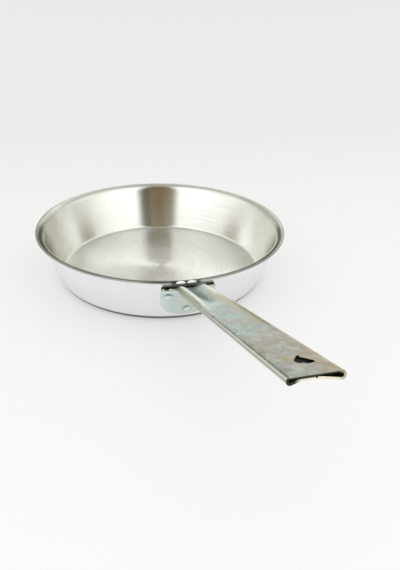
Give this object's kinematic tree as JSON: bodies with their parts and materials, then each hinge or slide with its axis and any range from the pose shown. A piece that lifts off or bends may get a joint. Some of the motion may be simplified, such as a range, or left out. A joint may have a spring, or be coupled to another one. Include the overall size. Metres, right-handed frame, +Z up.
{
  "type": "omelette pan",
  "caption": "Shallow round pan with a sloping wall, a rolled-out lip and a long rising handle folded from sheet, riveted on and pierced for hanging.",
  "frame": {"origin": "centre of the base, on the surface that the pan stands on", "axes": "+Z up along the pan's axis of revolution, handle towards -Y, +X to the right as seen from the handle's tip"},
  "size_m": [0.203, 0.3828, 0.0993],
  "materials": {
    "pan_aluminium": "turned, with fine rings on the wall and a satin floor",
    "plated_steel": "bright zinc plate with a faint blue, green and tan tint and fine scratches",
    "rivet_aluminium": "satin"
  },
  "bodies": {
    "root": {"pan_body": "pan_aluminium", "handle": "plated_steel", "rivet_left": "rivet_aluminium", "rivet_right": "rivet_aluminium", "rivet_lower": "rivet_aluminium"}
  },
  "joints": []
}
